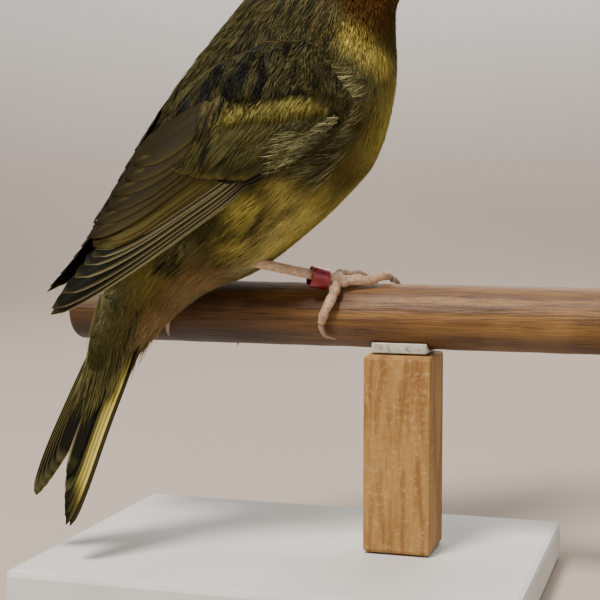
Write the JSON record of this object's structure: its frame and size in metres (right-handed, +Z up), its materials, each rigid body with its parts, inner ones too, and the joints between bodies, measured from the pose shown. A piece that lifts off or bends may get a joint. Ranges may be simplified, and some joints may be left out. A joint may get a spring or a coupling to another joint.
{
  "type": "bird figure",
  "caption": "Life-size still model of a small green and brown songbird gripping a round wooden perch that a square post holds over a flat base.",
  "frame": {"origin": "centre of the underside of the stand's base, where it meets the surface that it stands on", "axes": "+Z up; +X along the perch, from the bird's tail side to its head side; +Y away from the near side"},
  "size_m": [0.1143, 0.0701, 0.1408],
  "materials": {
    "plumage_head": "soft feathers, yellow and orange-brown",
    "plumage_breast": "soft feathers, yellow-olive streaked with brown",
    "tail_feathers": "dark feathers with yellow-green edges",
    "wing_feathers": "dark feathers with pale yellow edges",
    "bill_horn": "smooth pale horn",
    "eye": "polished dark brown",
    "leg_skin": "scaly pinkish skin",
    "claw_horn": "smooth brown horn",
    "ring": "red anodised, satin",
    "perch_wood": "weathered, unvarnished round rod",
    "post_wood": "rough sawn, sandy brown",
    "base_paint": "matte off-white paint",
    "glue": "set bead of grey-cream glue"
  },
  "bodies": {
    "root": {"head": "plumage_head", "neck": "plumage_head", "torso": "plumage_breast", "thigh_left": "plumage_breast", "thigh_right": "plumage_breast", "tail": "tail_feathers", "wing_left": "wing_feathers", "wing_right": "wing_feathers", "bill_upper": "bill_horn", "bill_lower": "bill_horn", "eye_left": "eye", "eye_right": "eye", "shank_left": "leg_skin", "shank_right": "leg_skin", "foot_left": "leg_skin", "foot_right": "leg_skin", "claw_hind_left": "claw_horn", "claw_inner_left": "claw_horn", "claw_middle_left": "claw_horn", "claw_outer_left": "claw_horn", "claw_hind_right": "claw_horn", "claw_inner_right": "claw_horn", "claw_middle_right": "claw_horn", "claw_outer_right": "claw_horn", "leg_ring": "ring", "perch": "perch_wood", "stand_post": "post_wood", "stand_base": "base_paint", "stand_glue": "glue"}
  },
  "joints": []
}
